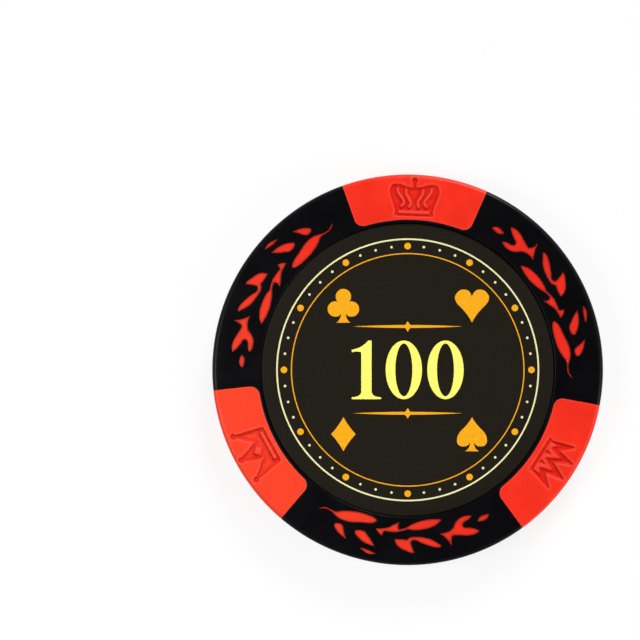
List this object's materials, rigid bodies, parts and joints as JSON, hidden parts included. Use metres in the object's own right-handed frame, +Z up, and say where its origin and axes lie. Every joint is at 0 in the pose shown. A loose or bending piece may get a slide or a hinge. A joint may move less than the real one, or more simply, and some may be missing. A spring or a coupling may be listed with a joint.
{
  "type": "poker chip",
  "caption": "Round two-colour moulded poker chip with red edge blocks, crown and leaf inlays, edge spots, a steel slug inside and a sunk label in each face.",
  "frame": {"origin": "middle of the lower face, where the chip rests on a table", "axes": "+Z up through the front face, +Y through the middle of the block with the king's crown"},
  "size_m": [0.04, 0.04, 0.0033],
  "materials": {
    "slug_steel": "plain cold-rolled steel",
    "red_plastic": "satin moulded composite with a fine spark-eroded grain on the faces",
    "black_plastic": "satin moulded composite with a fine spark-eroded grain on the faces",
    "label_adhesive": "pressure-sensitive film",
    "label_film": "matt charcoal print with pale yellow and gold",
    "label_laminate": "thin clear matt laminate over the print"
  },
  "bodies": {
    "root": {"steel_slug": "slug_steel", "red_core": "red_plastic", "black_body": "black_plastic", "front_adhesive": "label_adhesive", "front_label": "label_film", "front_laminate": "label_laminate", "back_adhesive": "label_adhesive", "back_label": "label_film", "back_laminate": "label_laminate"}
  },
  "joints": []
}
